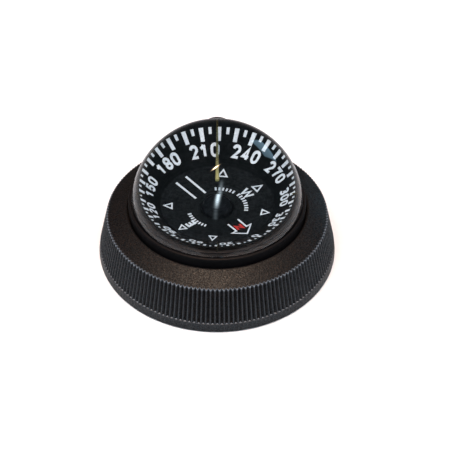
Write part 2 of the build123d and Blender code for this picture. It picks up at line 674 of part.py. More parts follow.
def card_float():
    """Buoyant ring under the card with slots for the magnets."""
    body = turned([(FLOAT_R[0], FLOAT_Z[0]), (FLOAT_R[1], FLOAT_Z[0], 0.6), (FLOAT_R[1], FLOAT_Z[1]),
                   (FLOAT_R[0], FLOAT_Z[1])])
    width, length, height = MAGNET
    slots = [block((s * MAGNET_X - width / 2 - GAP, s * MAGNET_X + width / 2 + GAP),
                   (-length / 2 - GAP, length / 2 + GAP), (FLOAT_Z[0] - 1, FLOAT_Z[0] + height + GAP))
             for s in (-1, 1)]
    return as_card(body - slots)


def card_magnets():
    """Two bar magnets along the card's north-south line."""
    width, length, height = MAGNET
    low = FLOAT_Z[0]
    return [as_card(block((s * MAGNET_X - width / 2, s * MAGNET_X + width / 2), (-length / 2, length / 2),
                          (low, low + height))) for s in (-1, 1)]


def jewel_cup():
    """Brass cup with a tapered mouth for the needle."""
    low = FLOAT_Z[0] + 1.6
    top = TIP_Z + 1.1
    return turned([(1.45, low), (CUP_R, low), (CUP_R, top), (0.95, top), (0.95, TIP_Z - 0.35)])


def jewel():
    """Sapphire bearing with a shallow seat for the needle's tip."""
    top = TIP_Z + 1.05
    return turned([(0, TIP_Z + 0.05), (0.5, TIP_Z - 0.2), (0.9, TIP_Z - 0.2), (0.9, top), (0, top)])


# ---- lamp ---------------------------------------------------------------------------------
def arch(inset):
    """Prism with a round top along Y, at the bow, set in from the hood's outline."""
    half = HOOD_HALF - inset
    low = block((-half, half), (30, 60), (HOOD_LOW_Z + inset, HOOD_ARCH_Z))
    return low + rod(half, (0, 30, HOOD_ARCH_Z), (0, 60, HOOD_ARCH_Z))


def shell(inner, outer):
    """Spherical shell about the dome's centre."""
    body = Solid.make_sphere(outer, angle1=-90) - Solid.make_sphere(inner, angle1=-90)
    return body.translate((0, 0, CENTRE_Z))


def lamp_hood():
    """Rounded hood outside the dome at the bow; it is open towards the dome."""
    body = arch(0) & shell(HOOD_IN_R, HOOD_OUT_R)
    body -= tube(0, NECK_R + 0.1, 0, NECK_TOP + 0.15)
    hollow = arch(HOOD_WALL) & shell(HOOD_IN_R - 1, HOOD_OUT_R - HOOD_WALL)
    body -= hollow & block((-20, 20), (30, 60), (HOOD_HOLLOW_Z, 60))
    body -= block((-WIRE_X - 1, WIRE_X + 1), (HOOD_IN_R - 2, NECK_R + 0.6), (20, HOOD_HOLLOW_Z + 1))
    body -= lamp_screw_bores(LAMP_SCREW_R + GAP)
    return body


def lamp_screw_bores(radius):
    """Cylinders along the two lamp screws."""
    bore = rod(radius, (0, DOME_R - 1, LAMP_SCREW_Z), (0, 60, LAMP_SCREW_Z))
    return [bore.rotate(Axis.Z, turn) for turn in LAMP_SCREW_TURNS]


def lamp_lens():
    """Red window between the lamp and the dome."""
    body = arch(HOOD_WALL + 0.1) & shell(HOOD_IN_R + 0.1, HOOD_IN_R + 0.1 + LENS_T)
    return body & block((-20, 20), (30, 60), (LENS_LOW_Z, 60))


def lamp_bulb():
    """Small round lamp aimed at the card."""
    lens_end, base_end = BULB_Y + 1.6, BULB_Y + 2.1
    body = rod(BULB_R, (0, BULB_Y, BULB_Z), (0, lens_end, BULB_Z))
    body += rod(BULB_RIM_R, (0, lens_end - 0.1, BULB_Z), (0, base_end, BULB_Z))
    return body & shell(HOOD_IN_R + LENS_T + 0.15, HOOD_OUT_R - HOOD_WALL - GAP)


def lamp_screws():
    """Two screws that hold the hood on the collar."""
    seat = sqrt(HOOD_OUT_R**2 - (LAMP_SCREW_Z - CENTRE_Z) ** 2) + 0.15
    screw = pan_screw((0, 0, 0), 1.2, 0.7, LAMP_SCREW_R, seat - DOME_R - 0.3)
    placed = Plane(origin=(0, seat, LAMP_SCREW_Z), z_dir=(0, 1, 0)) * screw
    return [placed.rotate(Axis.Z, turn) for turn in LAMP_SCREW_TURNS]


def lamp_wires():
    """Two wires from the lamp down to the terminal block."""
    x_end, y_end = TERMINAL_AT
    wires = []
    for side in (-1, 1):
        x = side * WIRE_X
        end_x = x_end + side * TERMINAL_HALF_PITCH
        wires.append(bent_wire(WIRE_R, [
            (x, WIRE_TOP_Y, WIRE_TOP_Z),
            (x, WIRE_TOP_Y, LENS_LOW_Z),
            (x, WIRE_NECK_Y, HOOD_HOLLOW_Z),
            (x, WIRE_NECK_Y, COLLAR_TOP + 0.9),
            (x, WIRE_DOWN_R, COLLAR_TOP + 0.2),
            (x, WIRE_DOWN_R, WIRE_LOW_Z + 2.6),
            (x, WIRE_FLOOR_R, WIRE_LOW_Z),
            (end_x, WIRE_TURN_Y, WIRE_LOW_Z),
            (end_x, y_end + 2.0, WIRE_LOW_Z),
        ]))
    return wires


# ---- export -------------------------------------------------------------------------------
PARTS = {
    "cover_ring": cover_ring,
    "mounting_plate": mounting_plate,
    "deck_gasket": deck_gasket,
    "cable_grommet": cable_grommet,
    "compensator_frame": compensator_frame,
    "frame_screws": frame_screws,
    "ew_adjuster_rod": lambda: adjuster_rod(*rod_ends("ew")),
    "ew_adjuster_magnets": lambda: adjuster_magnets("ew"),
    "ns_adjuster_rod": lambda: adjuster_rod(*rod_ends("ns")),
    "ns_adjuster_magnets": lambda: adjuster_magnets("ns"),
    "terminal_block": terminal_block,
    "terminal_screws": terminal_screws,
    "capsule_bowl": capsule_bowl,
    "clamp_collar": clamp_collar,
    "collar_screws": collar_screws,
    "dome": dome,
    "dome_seal": dome_seal,
    "diaphragm": diaphragm,
    "diaphragm_retainer": diaphragm_retainer,
    "retainer_screws": retainer_screws,
    "filler_plug": filler_plug,
    "filler_washer": filler_washer,
    "gimbal_bracket": gimbal_bracket,
    "roll_pins": roll_pins,
    "gimbal_ring": gimbal_ring,
    "pitch_pins": pitch_pins,
    "gimbal_cradle": gimbal_cradle,
    "lubber_lines": lubber_lines,
    "pivot_needle": pivot_needle,
    "counterweight": counterweight,
    "counterweight_nut": counterweight_nut,
    "compass_card": compass_card,
    "card_hub": card_hub,
    "card_float": card_float,
    "card_magnets": card_magnets,
    "jewel_cup": jewel_cup,
    "jewel": jewel,
    "lamp_hood": lamp_hood,
    "lamp_lens": lamp_lens,
    "lamp_bulb": lamp_bulb,
    "lamp_screws": lamp_screws,
    "lamp_wires": lamp_wires,
}


def main():
    """Builds every part and writes it as parts/NODE.step."""
    os.makedirs("parts", exist_ok=True)
    for name, build in PARTS.items():
        made = build()
        shapes = made if isinstance(made, (list, tuple)) else [made]
        solids = [solid for shape in shapes for solid in shape.solids()]
        export_step(Compound(children=solids) if len(solids) > 1 else solids[0], f"parts/{name}.step")


main()
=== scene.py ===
"""Looks of the binnacle compass: a ribbed cover, a liquid-filled dome and a printed card."""

import json
import math

import bmesh
import bpy
from mathutils import Euler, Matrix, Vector


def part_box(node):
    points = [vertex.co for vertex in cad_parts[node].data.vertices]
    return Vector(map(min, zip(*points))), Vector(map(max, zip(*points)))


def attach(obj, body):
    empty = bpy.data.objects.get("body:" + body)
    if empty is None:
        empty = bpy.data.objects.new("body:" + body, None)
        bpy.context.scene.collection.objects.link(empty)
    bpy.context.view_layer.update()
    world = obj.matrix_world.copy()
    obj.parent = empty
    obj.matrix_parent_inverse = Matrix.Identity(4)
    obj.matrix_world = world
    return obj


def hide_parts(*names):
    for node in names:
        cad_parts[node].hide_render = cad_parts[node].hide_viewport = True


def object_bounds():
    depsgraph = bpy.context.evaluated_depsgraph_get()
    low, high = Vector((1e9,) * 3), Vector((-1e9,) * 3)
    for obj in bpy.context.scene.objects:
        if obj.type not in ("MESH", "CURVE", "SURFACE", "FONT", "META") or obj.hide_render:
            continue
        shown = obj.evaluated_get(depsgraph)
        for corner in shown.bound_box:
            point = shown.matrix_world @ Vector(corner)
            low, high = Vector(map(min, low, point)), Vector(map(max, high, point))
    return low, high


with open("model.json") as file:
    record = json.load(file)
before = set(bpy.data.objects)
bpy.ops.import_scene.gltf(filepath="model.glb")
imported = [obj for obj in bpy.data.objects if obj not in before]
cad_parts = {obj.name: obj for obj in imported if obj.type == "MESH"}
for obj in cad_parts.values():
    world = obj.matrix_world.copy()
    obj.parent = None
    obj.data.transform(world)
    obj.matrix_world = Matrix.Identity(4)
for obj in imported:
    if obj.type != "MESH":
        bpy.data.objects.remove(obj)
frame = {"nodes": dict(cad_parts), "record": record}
cad_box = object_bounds()

MM = 0.001
FULL = 2 * math.pi


# ---- sizes, in millimetres ----------------------------------------------------------------
def reach(node):
    """Outer radius, lowest height and highest height of a round CAD node about the Z axis."""
    low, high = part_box(node)
    return high.x / MM, low.z / MM, high.z / MM


BASE_R, COVER_LOW, COVER_HIGH = reach("cover_ring")
FOOT_TOP = 4.6              # the grooves between the ribs end here
FOOT_LEDGE_R = BASE_R - 0.7
RIB_LOW_R = 58.5
RIB_HIGH_R = 54.0
RIB_HIGH_Z = 22.6
RIB_DEPTH = 0.9
RIB_COUNT = 170
RIB_CREST = 0.06            # half width of a ridge's flat as a share of the pitch
RIB_STEPS = 12              # points around each rib
LIP_R = 43.5
CONE_SLOPE = (COVER_HIGH - RIB_HIGH_Z) / (RIB_HIGH_R - LIP_R)
COVER_WALL = 2.2
LUG_COUNT = 3
LUG_HALF_ARC = 15.5
LUG_R = (50.5, 55.4)
LUG_Z = (3.3, 5.4)

DOME_FLANGE_R, DOME_LOW, DOME_TOP = reach("dome")
DOME_R = 42.0
DOME_WALL = 2.7
CENTRE_Z = DOME_TOP - DOME_R
DOME_FLANGE_Z = 21.0

CARD_R, CARD_LOW, BAND_HIGH = reach("compass_card")
CARD_T = 0.8
DISC_Z = CARD_LOW + CARD_T
DISC_R = 18.8
BAND_IN = (19.15, 24.45)    # radius and height where the cone band begins
BAND_OUT = (28.1, 28.45)
BAND_SLOPE = (BAND_OUT[1] - BAND_IN[1]) / (BAND_OUT[0] - BAND_IN[0])
HEADING = 219.0             # degrees of the card that lie at the bow
HUB_R, HUB_LOW, HUB_TOP = reach("card_hub")

WIRE_R = 0.5
WIRE_FOOT_R = 30.2
WIRE_HIGH_Z = 30.2
WIRE_BEND = 1.2
WIRE_HALF_WIDTH = 0.14
MAIN_WIRE_END = (7.7, 0.68)     # radius where it ends and its half width there
MAIN_WIRE_DROP = 0.5
MARK_END_R = 27.2
MARK_DROP = 0.3
MARK_ANGLES = (45, 135, 3, 177, 270)

INK = 0.05                  # thickness of the card's print
DIGIT_BASE_R = 21.4
DIGIT_SIZE = (1.72, 2.75)   # width and height of the pen's path
DIGIT_PITCH = 2.95
DIGIT_PEN = 0.74
TICK_END_R = 27.55
LONG_TICK = (24.9, 1.0)     # inner radius and width
SHORT_TICK = (26.35, 0.68)

# The window and lamp directions below place their painted reflections in the dome.
# Directions from the dome are given by their x, y and z; x and y alone serve near the zenith.
WINDOW_AZIMUTH = 0.675          # radians clockwise from the bow
WINDOW_RISE = 0.29              # sine of the elevation of its middle
WINDOW_HALF_WIDTH = (0.165, 0.200)      # where its soft frame begins and ends
WINDOW_HALF_HEIGHT = (0.110, 0.145)
LAMP_PLACE = (-0.035, 0.020)    # direction to the ceiling lamp, almost overhead
LAMP_ALONG = (0.757, 0.653)     # direction of the lamp's length
LAMP_SPREAD = (0.062, 0.010)    # along its length and across it
# the glint on the card is a painted highlight: emitted light, not a reflection of a lamp
GLINT_LAMP = (-0.07, 0.15)      # direction to the lamp that glints on the card
GLINT_WIDTH = 0.64


# ---- mesh helpers -------------------------------------------------------------------------
def make_object(name, vertices, faces, materials, body, sharp=35.0, wear_and_highlight=None):
    """Smooth mesh piece from millimetre vertices; it rides on a body and takes a slot's finish.

    The last argument gives how much each vertex is painted lighter, from 0 to 1: partly rubbed wear,
    partly a painted highlight on crests and edges."""
    mesh = bpy.data.meshes.new(name)
    mesh.from_pydata([Vector(v) * MM for v in vertices], [], faces)
    if wear_and_highlight:
        mesh.attributes.new("wear_and_highlight", "FLOAT", "POINT").data.foreach_set("value", wear_and_highlight)
    face_outward(mesh)
    for material in materials:
        mesh.materials.append(material)
    mesh.shade_smooth()
    mesh.set_sharp_from_angle(angle=math.radians(sharp))
    piece = bpy.data.objects.new(name, mesh)
    bpy.context.scene.collection.objects.link(piece)
    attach(piece, body)
    return piece


def face_outward(mesh):
    """Turns every face of a mesh of closed shells to look out of its shell."""
    working = bmesh.new()
    working.from_mesh(mesh)
    bmesh.ops.recalc_face_normals(working, faces=working.faces)
    working.to_mesh(mesh)
    working.free()


def polar(radius, angle, z):
    """Point at a radius and an angle, in radians from +X."""
    return (radius * math.cos(angle), radius * math.sin(angle), z)


def arc(centre, radius, start, end, steps):
    """Points along an arc between two angles in degrees; radius is one number or a pair."""
    wide, tall = radius if isinstance(radius, tuple) else (radius, radius)
    points = []
    for i in range(steps + 1):
        angle = math.radians(start + (end - start) * i / steps)
        points.append((centre[0] + wide * math.cos(angle), centre[1] + tall * math.sin(angle)))
    return points


def rounded(corners, steps=4):
    """Closed outline through (x, y) corners; a third value rounds that corner."""
    points = []
    for i, corner in enumerate(corners):
        here = Vector(corner[:2])
        if len(corner) == 2:
            points.append(tuple(here))
            continue
        to_before = (Vector(corners[i - 1][:2]) - here).normalized()
        to_after = (Vector(corners[(i + 1) % len(corners)][:2]) - here).normalized()
        half = to_before.angle(to_after) / 2
        centre = here + (to_before + to_after).normalized() * corner[2] / math.sin(half)
        first = (here + to_before * corner[2] / math.tan(half) - centre).normalized()
        last = (here + to_after * corner[2] / math.tan(half) - centre).normalized()
        for k in range(steps + 1):
            share = k / steps
            points.append(tuple(centre + first.slerp(last, share) * corner[2]))
    return points


def lathe(profile, steps):
    """Vertices and faces of a closed profile of (r, z) points turned about Z."""
    vertices, rings = [], []
    for r, z in profile:
        if r < 1e-6:
            rings.append([len(vertices)] * steps)
            vertices.append((0.0, 0.0, z))
            continue
        rings.append(list(range(len(vertices), len(vertices) + steps)))
        vertices += [polar(r, FULL * i / steps, z) for i in range(steps)]
    return vertices, ring_faces(rings, steps)


def ring_faces(rings, steps):
    """Faces between successive rings of vertex numbers, the last joined to the first."""
    faces = []
    for k, ring in enumerate(rings):
        after = rings[(k + 1) % len(rings)]
        for i in range(steps):
            j = (i + 1) % steps
            corners = [ring[i], after[i], after[j], ring[j]]
            loop = [c for n, c in enumerate(corners) if c != corners[n - 1]]
            if len(loop) > 2:
                faces.append(loop)
    return faces


def joined(parts):
    """One list of vertices and one of faces from several (vertices, faces) pairs."""
    vertices, faces = [], []
    for part_vertices, part_faces in parts:
        start = len(vertices)
        vertices += part_vertices
        faces += [[start + i for i in face] for face in part_faces]
    return vertices, faces


# ---- material helpers ---------------------------------------------------------------------
def node(tree, kind, settings=None, **inputs):
    """Adds a shader node; each input is a value or another node's output."""
    made = tree.nodes.new(kind)
    for key, value in (settings or {}).items():
        setattr(made, key, value)
    for key, value in inputs.items():
        feed(tree, made.inputs[key.replace("_", " ")], value)
    return made


def feed(tree, socket, value):
    """Sets a socket to a value or links it to an output."""
    if isinstance(value, bpy.types.NodeSocket):
        tree.links.new(value, socket)
    else:
        socket.default_value = value


def maths(tree, operation, first, second=0.0):
    """Output of a maths node."""
    made = node(tree, "ShaderNodeMath", {"operation": operation})
    feed(tree, made.inputs[0], first)
    feed(tree, made.inputs[1], second)
    return made.outputs[0]


def bell(tree, value, width):
    """Bell curve of a value: 1 at 0, falling off over a width on both sides."""
    fall = maths(tree, "POWER", maths(tree, "DIVIDE", value, width), 2)
    return maths(tree, "EXPONENT", maths(tree, "MULTIPLY", fall, -1))


def turned_to(tree, x, y, direction):
    """Parts of a flat vector along a unit direction and to its left."""
    along = maths(tree, "ADD", maths(tree, "MULTIPLY", x, direction[0]),
                  maths(tree, "MULTIPLY", y, direction[1]))
    left = maths(tree, "SUBTRACT", maths(tree, "MULTIPLY", y, direction[0]),
                 maths(tree, "MULTIPLY", x, direction[1]))
    return along, left


def flat_length(tree, x, y):
    """Length of a flat vector."""
    return maths(tree, "SQRT", maths(tree, "ADD", maths(tree, "POWER", x, 2),
                                     maths(tree, "POWER", y, 2)))


def linked(tree, kind, first, second, share=None):
    """Output of a mix or an add shader of two shaders."""
    made = tree.nodes.new(kind)
    sockets = list(made.inputs)
    if share is not None:
        feed(tree, sockets.pop(0), share)
    tree.links.new(first, sockets[0])
    tree.links.new(second, sockets[1])
    return made.outputs[0]


def blended(tree, share, first, second):
    """Colour between two colours."""
    made = node(tree, "ShaderNodeMix", {"data_type": "RGBA"})
    feed(tree, made.inputs[0], share)
    feed(tree, made.inputs[6], first)
    feed(tree, made.inputs[7], second)
    return made.outputs[2]


def between(tree, value, low, high, to_low=0.0, to_high=1.0):
    """Output of a map-range node."""
    made = node(tree, "ShaderNodeMapRange", Value=value, From_Min=low, From_Max=high,
                To_Min=to_low, To_Max=to_high)
    return made.outputs[0]


def noise(tree, size, detail=3.0, place=None):
    """Noise from 0 to 1 whose features are about size millimetres across."""
    if place is None:
        place = node(tree, "ShaderNodeTexCoord").outputs["Object"]
    return node(tree, "ShaderNodeTexNoise", Vector=place, Scale=1.0 / (size * MM),
                Detail=detail).outputs["Fac"]


def radius_from_axis(tree):
    """Distance from the Z axis, in metres."""
    place = node(tree, "ShaderNodeTexCoord").outputs["Object"]
    parts = node(tree, "ShaderNodeSeparateXYZ", Vector=place).outputs
    return flat_length(tree, parts[0], parts[1])


def new_material(name):
    """Empty node material; returns it with its tree and its output node."""
    material = bpy.data.materials.new(name)
    material.use_nodes = True
    material.node_tree.nodes.clear()
    output = material.node_tree.nodes.new("ShaderNodeOutputMaterial")
    return material, material.node_tree, output


def moulded(name, dark, light, grain, rough, bump=0.05, metallic=0.0, specular=0.5):
    """Surface whose colour and gloss vary with a fine grain and with broad handling marks."""
    material, tree, output = new_material(name)
    fine = noise(tree, grain, 5.0)
    broad = noise(tree, 9.0, 3.0)
    mix = between(tree, maths(tree, "ADD", fine, maths(tree, "MULTIPLY", broad, 0.6)), 0.55, 1.05)
    colour = blended(tree, mix, (*dark, 1), (*light, 1))
    gloss = between(tree, broad, 0.3, 0.7, rough - 0.05, rough + 0.06)
    relief = node(tree, "ShaderNodeBump", Strength=1.0, Distance=bump * MM, Height=fine)
    shader = node(tree, "ShaderNodeBsdfPrincipled", Base_Color=colour, Roughness=gloss,
                  Metallic=metallic, Normal=relief.outputs[0])
    shader.inputs["Specular IOR Level"].default_value = specular
    tree.links.new(shader.outputs[0], output.inputs[0])
    return material


# ---- materials ----------------------------------------------------------------------------
def cover_black():
    """Satin black moulding: leathery grain, brownish flecks, and edges painted lighter, partly as wear
    rubbed by hands and partly as a painted highlight.
    """
    material, tree, output = new_material("cover_black")
    grain = noise(tree, 0.80, 4.0)
    fleck = between(tree, noise(tree, 0.60, 2.0), 0.50, 0.64)
    broad = noise(tree, 9.0, 3.0)
    wear_and_highlight = node(tree, "ShaderNodeAttribute", {"attribute_name": "wear_and_highlight"}).outputs["Fac"]
    wear_and_highlight_share = maths(tree, "MULTIPLY", wear_and_highlight, between(tree, grain, 0.25, 0.60, 0.5, 1.0))
    colour = blended(tree, broad, (0.0035, 0.004, 0.005, 1), (0.006, 0.007, 0.008, 1))
    colour = blended(tree, fleck, colour, (0.020, 0.013, 0.010, 1))
    # painted highlight and wear: rubbed edges, crests and tooth tips are painted a light bluish grey
    colour = blended(tree, wear_and_highlight_share, colour, (0.34, 0.38, 0.43, 1))
    gloss = between(tree, grain, 0.3, 0.7, 0.36, 0.54)
    shine = between(tree, noise(tree, 0.55, 2.0), 0.36, 0.64, 0.14, 0.62)
    relief = node(tree, "ShaderNodeBump", Strength=1.0, Distance=0.17 * MM, Height=grain)
    shader = node(tree, "ShaderNodeBsdfPrincipled", Base_Color=colour, Roughness=gloss,
                  Normal=relief.outputs[0], Specular_IOR_Level=shine, Specular_Tint=(0.76, 0.91, 1.0, 1))
    tree.links.new(shader.outputs[0], output.inputs[0])
    return material


def plate_black():
    return moulded("plate_black", (0.012, 0.012, 0.013), (0.026, 0.026, 0.027), 0.8, 0.5)


def collar_black():
    return moulded("collar_black", (0.003, 0.003, 0.004), (0.006, 0.006, 0.007), 0.6, 0.5, bump=0.02,
                   specular=0.3)


def bowl_black():
    return moulded("bowl_black", (0.003, 0.003, 0.004), (0.007, 0.007, 0.008), 0.9, 0.6, specular=0.2)


def seal_rubber():
    return moulded("seal_rubber", (0.010, 0.010, 0.010), (0.022, 0.022, 0.021), 0.5, 0.75)


def grey_rubber():
    return moulded("grey_rubber", (0.055, 0.056, 0.058), (0.095, 0.095, 0.092), 0.6, 0.8)


def screw_steel():
    return moulded("screw_steel", (0.42, 0.43, 0.44), (0.62, 0.62, 0.61), 0.25, 0.3, 0.01, 1.0)


def brass():
    return moulded("brass", (0.52, 0.36, 0.12), (0.72, 0.52, 0.20), 0.3, 0.32, 0.01, 1.0)


def plug_nylon():
    return moulded("plug_nylon", (0.48, 0.47, 0.42), (0.62, 0.61, 0.55), 0.6, 0.5)


def gimbal_black():
    return moulded("gimbal_black", (0.006, 0.006, 0.007), (0.012, 0.012, 0.013), 0.5, 0.5, specular=0.3)


def pin_steel():
    return moulded("pin_steel", (0.45, 0.46, 0.47), (0.60, 0.60, 0.60), 0.15, 0.25, 0.005, 1.0)


def lubber_yellow():
    """Olive-yellow translucent plastic, with painted shade: darker and browner towards the card's rim.
    """
    material, tree, output = new_material("lubber_yellow")
    fine = noise(tree, 0.4, 4.0)
    # painted shade: the wire darkens towards the card's rim, where the small marks sit
    outer = between(tree, radius_from_axis(tree), 9.0 * MM, 19.0 * MM)
    colour = blended(tree, fine, (0.44, 0.44, 0.19, 1), (0.58, 0.57, 0.29, 1))
    colour = blended(tree, outer, colour, (0.07, 0.065, 0.028, 1))
    body = node(tree, "ShaderNodeBsdfPrincipled", Base_Color=colour, Roughness=0.35)
    through = node(tree, "ShaderNodeBsdfTransparent", Color=(0.80, 0.80, 0.62, 1))
    clear = between(tree, fine, 0.3, 0.7, 0.40, 0.55)
    result = linked(tree, "ShaderNodeMixShader", body.outputs[0], through.outputs[0], clear)
    tree.links.new(result, output.inputs[0])
    return material


def float_grey():
    return moulded("float_grey", (0.02, 0.02, 0.022), (0.04, 0.04, 0.042), 0.6, 0.7)


def magnet_steel():
    return moulded("magnet_steel", (0.20, 0.20, 0.21), (0.32, 0.32, 0.33), 0.2, 0.4, 0.01, 1.0)


def jewel_blue():
    return moulded("jewel_blue", (0.02, 0.05, 0.25), (0.05, 0.10, 0.45), 0.1, 0.1, 0.002)


def frame_plastic():
    return moulded("frame_plastic", (0.03, 0.03, 0.032), (0.05, 0.05, 0.052), 0.6, 0.5)


def terminal_plastic():
    return moulded("terminal_plastic", (0.30, 0.30, 0.28), (0.42, 0.42, 0.39), 0.6, 0.5)


def lens_red():
    return moulded("lens_red", (0.30, 0.008, 0.006), (0.45, 0.02, 0.012), 0.5, 0.2, 0.01)


def bulb_glass():
    return moulded("bulb_glass", (0.50, 0.48, 0.42), (0.70, 0.68, 0.62), 0.3, 0.1, 0.005)


def wire_sleeve():
    return moulded("wire_sleeve", (0.25, 0.02, 0.02), (0.38, 0.04, 0.03), 0.3, 0.45)


def streak(tree):
    """Painted glint of a lamp on turned marks, which draw it out along the radius towards the lamp.

    Gives its strength, from 0 to 1, and the distance along it from the Z axis, in metres. It
    moves with the viewer as a real glint does."""
    surface = node(tree, "ShaderNodeNewGeometry").outputs
    place = node(tree, "ShaderNodeSeparateXYZ", Vector=surface["Position"]).outputs
    viewer = node(tree, "ShaderNodeSeparateXYZ", Vector=surface["Incoming"]).outputs
    x = maths(tree, "ADD", viewer[0], GLINT_LAMP[0])
    y = maths(tree, "ADD", viewer[1], GLINT_LAMP[1])
    length = flat_length(tree, x, y)
    direction = (maths(tree, "DIVIDE", x, length), maths(tree, "DIVIDE", y, length))
    towards_viewer, aside = turned_to(tree, place[0], place[1], direction)
    return bell(tree, aside, GLINT_WIDTH * MM), maths(tree, "MULTIPLY", towards_viewer, -1)


def turned_face(name, dark, light, glint, levels):
    """Black plastic turned on a lathe, with dust flecks and a painted highlight: a glowing streak across
    its marks.

    The flecks are lighter on the flat part than on the conical band. glint is the streak's middle and
    how far from there it starts to fade and ends, in millimetres; levels are its strengths at those two
    places."""
    material, tree, output = new_material(name)
    radius = radius_from_axis(tree)
    circles = noise(tree, 0.35, 4.0, node(tree, "ShaderNodeCombineXYZ", X=radius).outputs[0])
    dust = noise(tree, 0.9, 5.0)
    grime = between(tree, maths(tree, "MULTIPLY", circles, dust), 0.15, 0.35)
    # lighter flecks over the flat part, a quarter as strong on the conical band
    inside = between(tree, radius, (DISC_R - 0.5) * MM, BAND_IN[0] * MM, 1.0, 0.25)
    colour = blended(tree, maths(tree, "MULTIPLY", grime, inside), (*dark, 1), (*light, 1))
    surface = node(tree, "ShaderNodeBsdfPrincipled", Base_Color=colour, Specular_IOR_Level=0.15,
                   Roughness=between(tree, circles, 0.3, 0.7, 0.42, 0.50))
    strength, along = streak(tree)
    away = maths(tree, "ABSOLUTE", maths(tree, "SUBTRACT", along, glint[0] * MM))
    level = between(tree, away, glint[1] * MM, glint[2] * MM, levels[0], levels[1])
    marks = between(tree, circles, 0.3, 0.7, 0.6, 1.3)
    strength = maths(tree, "MULTIPLY", strength, maths(tree, "MULTIPLY", level, marks))
    # painted highlight: the streak is emitted pale blue light added to the plastic
    painted_glint = node(tree, "ShaderNodeEmission", Color=(0.74, 0.90, 1.0, 1), Strength=strength)
    both = linked(tree, "ShaderNodeAddShader", surface.outputs[0], painted_glint.outputs[0])
    tree.links.new(both, output.inputs[0])
    return material


def card_black():
    return turned_face("card_black", (0.004, 0.005, 0.0055), (0.019, 0.021, 0.022),
                       (4.0, 4.0, 10.0), (0.33, 0.0))


def hub_black():
    return turned_face("hub_black", (0.004, 0.005, 0.006), (0.014, 0.016, 0.018),
                       (3.0, 2.0, 6.4), (1.3, 0.07))


def print_white():
    return moulded("print_white", (0.36, 0.44, 0.51), (0.58, 0.68, 0.74), 0.5, 0.55, 0.003)


def print_red():
    return moulded("print_red", (0.30, 0.014, 0.014), (0.40, 0.03, 0.028), 0.3, 0.55, 0.003)


def window_glow(tree, mirror):
    """Where a mirror direction meets the window, from 0 to 1, with a soft frame."""
    azimuth = maths(tree, "ARCTAN2", mirror[0], mirror[1])
    aside = maths(tree, "ABSOLUTE", maths(tree, "SUBTRACT", azimuth, WINDOW_AZIMUTH))
    above = maths(tree, "ABSOLUTE", maths(tree, "SUBTRACT", mirror[2], WINDOW_RISE))
    return maths(tree, "MULTIPLY", between(tree, aside, *reversed(WINDOW_HALF_WIDTH)),
                 between(tree, above, *reversed(WINDOW_HALF_HEIGHT)))


def lamp_glow(tree, mirror):
    """Where a mirror direction meets the thin ceiling lamp; it fades towards both ends."""
    x = maths(tree, "SUBTRACT", mirror[0], LAMP_PLACE[0])
    y = maths(tree, "SUBTRACT", mirror[1], LAMP_PLACE[1])
    along, aside = turned_to(tree, x, y, LAMP_ALONG)
    return maths(tree, "MULTIPLY", bell(tree, along, LAMP_SPREAD[0]),
                 bell(tree, aside, LAMP_SPREAD[1]))


def room_mirrored(tree):
    """Painted reflection of the window and the ceiling lamp: emission where the dome's mirror direction
    meets them, crisp from any side.
    """
    direction = node(tree, "ShaderNodeTexCoord").outputs["Reflection"]
    mirror = node(tree, "ShaderNodeSeparateXYZ", Vector=direction).outputs
    window = node(tree, "ShaderNodeEmission", Color=(0.45, 0.76, 1.0, 1),
                  Strength=maths(tree, "MULTIPLY", window_glow(tree, mirror), 2.3))
    lamp = node(tree, "ShaderNodeEmission", Color=(1.0, 0.74, 0.46, 1),
                Strength=maths(tree, "MULTIPLY", lamp_glow(tree, mirror), 170.0))
    return linked(tree, "ShaderNodeAddShader", window.outputs[0], lamp.outputs[0])


def dome_clear():
    """Clear wall with the liquid behind it, faintly smudged, with a painted reflection of the window and
    the ceiling lamp; light reaches the card through it.
    """
    material, tree, output = new_material("dome_clear")
    smudge = between(tree, noise(tree, 18.0, 2.0), 0.50, 0.75, 0.08, 0.11)
    tint = blended(tree, noise(tree, 20.0), (0.985, 0.99, 0.985, 1), (1, 1, 1, 1))
    bend = node(tree, "ShaderNodeBsdfRefraction", Color=tint, IOR=1.47, Roughness=0.0)
    shine = node(tree, "ShaderNodeBsdfGlossy", Roughness=smudge, Color=(1, 1, 1, 1))
    # painted reflection of the window and the lamp, added to the real gloss
    mirrored = linked(tree, "ShaderNodeAddShader", room_mirrored(tree), shine.outputs[0])
    share = node(tree, "ShaderNodeFresnel", IOR=1.49).outputs[0]
    wall = linked(tree, "ShaderNodeMixShader", bend.outputs[0], mirrored, share)
    path = node(tree, "ShaderNodeLightPath").outputs
    bounced = maths(tree, "MAXIMUM", path["Is Glossy Ray"], path["Is Diffuse Ray"])
    indirect = maths(tree, "MAXIMUM", path["Is Shadow Ray"], bounced)
    open_way = node(tree, "ShaderNodeBsdfTransparent", Color=(0.95, 0.96, 0.97, 1))
    result = linked(tree, "ShaderNodeMixShader", wall, open_way.outputs[0], indirect)
    tree.links.new(result, output.inputs[0])
    return material


def dome_inside():
    """Inner face of the dome; the liquid bends light as the wall does, so it hardly shows."""
    material, tree, output = new_material("dome_inside")
    film = blended(tree, noise(tree, 12.0), (0.985, 0.99, 0.995, 1), (1, 1, 1, 1))
    clear = node(tree, "ShaderNodeBsdfTransparent", Color=film)
    tree.links.new(clear.outputs[0], output.inputs[0])
    return material


# ---- cover --------------------------------------------------------------------------------
def cone_z(radius):
    """Height of the cover's conical top at a radius."""
    return COVER_HIGH - CONE_SLOPE * (radius - LIP_R)


